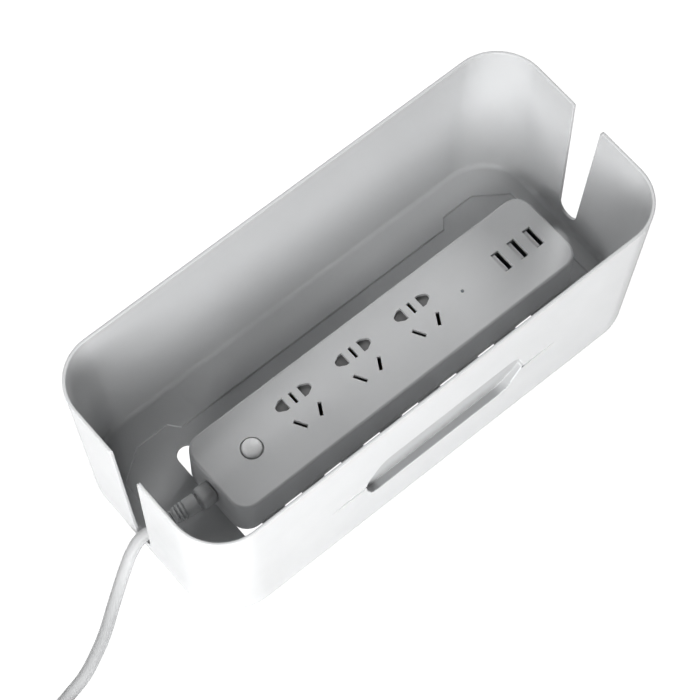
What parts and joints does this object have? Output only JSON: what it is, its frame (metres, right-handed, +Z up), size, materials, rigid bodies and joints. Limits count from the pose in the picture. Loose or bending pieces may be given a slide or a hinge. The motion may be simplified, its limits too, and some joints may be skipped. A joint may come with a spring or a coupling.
{
  "type": "cable tray",
  "caption": "Open-topped moulded cable tray with end notches, a vented floor and a front finger recess, holding a power strip whose cord leaves through a notch.",
  "frame": {"origin": "on the surface it stands on, under the middle of the box", "axes": "+X along the box to its right end, away from the cord; +Y to its back; +Z up, out of the open top"},
  "size_m": [0.4754, 0.2271, 0.1141],
  "materials": {
    "white_plastic": "smooth moulded, satin gloss",
    "foot_rubber": "matt soft rubber",
    "strip_plastic": "fine matt moulded texture",
    "button_plastic": "polished moulded dome",
    "shutter_plastic": "plain moulded",
    "dark_plastic": "plain moulded",
    "steel_part": "plated sheet and wire",
    "brass_contact": "stamped, bare",
    "pin_brass": "polished solid blades",
    "board_green": "solder mask on glass laminate",
    "coil_tape": "wrapped polyester tape",
    "capacitor_sleeve": "shrunk sleeve",
    "lamp_lens": "clear moulded light pipe",
    "wire_brown": "extruded insulation",
    "wire_blue": "extruded insulation",
    "wire_green": "extruded insulation",
    "cord_jacket": "extruded flexible jacket, semi-matt",
    "tie_strap": "woven hook and loop strap"
  },
  "bodies": {
    "tray": {"tray_shell": "white_plastic", "tray_foot_front_left": "foot_rubber", "tray_foot_front_right": "foot_rubber", "tray_foot_back_left": "foot_rubber", "tray_foot_back_right": "foot_rubber"},
    "strip": {"strip_foot_front_left": "foot_rubber", "strip_foot_front_right": "foot_rubber", "strip_foot_back_left": "foot_rubber", "strip_foot_back_right": "foot_rubber", "strip_cover": "strip_plastic", "strip_base": "strip_plastic", "switch_body": "dark_plastic", "usb_tongue_1": "dark_plastic", "usb_tongue_2": "dark_plastic", "usb_tongue_3": "dark_plastic", "strip_screw_front_left": "steel_part", "strip_screw_front_right": "steel_part", "strip_screw_back_left": "steel_part", "strip_screw_back_right": "steel_part", "switch_spring": "steel_part", "usb_port_1": "steel_part", "usb_port_2": "steel_part", "usb_port_3": "steel_part", "live_bar": "brass_contact", "neutral_bar": "brass_contact", "earth_bar": "brass_contact", "switch_terminal_1": "brass_contact", "switch_terminal_2": "brass_contact", "plug_pin_earth": "pin_brass", "plug_pin_live": "pin_brass", "plug_pin_neutral": "pin_brass", "usb_board": "board_green", "usb_transformer": "coil_tape", "usb_capacitor": "capacitor_sleeve", "lamp_pipe": "lamp_lens", "wire_live": "wire_brown", "wire_switched": "wire_brown", "wire_usb_live": "wire_brown", "wire_neutral": "wire_blue", "wire_usb_neutral": "wire_blue", "wire_earth": "wire_green", "cord_relief": "cord_jacket", "cord": "cord_jacket", "cord_coil": "cord_jacket", "cord_end": "cord_jacket", "plug_body": "cord_jacket", "cord_tie": "tie_strap"},
    "button": {"switch_button": "button_plastic"},
    "shutter_1": {"socket_shutter_1": "shutter_plastic"},
    "shutter_2": {"socket_shutter_2": "shutter_plastic"},
    "shutter_3": {"socket_shutter_3": "shutter_plastic"}
  },
  "joints": [
    {"name": "strip_lift", "type": "slide", "parent": "tray", "child": "strip", "axis": [0, 0, 1], "range_m": [0, 0.125]},
    {"name": "button_press", "type": "slide", "parent": "strip", "child": "button", "axis": [0, 0, -1], "range_m": [0, 0.0025], "stiffness_N_per_m": 300, "springref_m": -0.002},
    {"name": "shutter_slide_1", "type": "slide", "parent": "strip", "child": "shutter_1", "axis": [0, 1, 0], "range_m": [0, 0.0078], "stiffness_N_per_m": 60, "springref_m": -0.002},
    {"name": "shutter_slide_2", "type": "slide", "parent": "strip", "child": "shutter_2", "axis": [0, 1, 0], "range_m": [0, 0.0078], "stiffness_N_per_m": 60, "springref_m": -0.002},
    {"name": "shutter_slide_3", "type": "slide", "parent": "strip", "child": "shutter_3", "axis": [0, 1, 0], "range_m": [0, 0.0078], "stiffness_N_per_m": 60, "springref_m": -0.002}
  ]
}
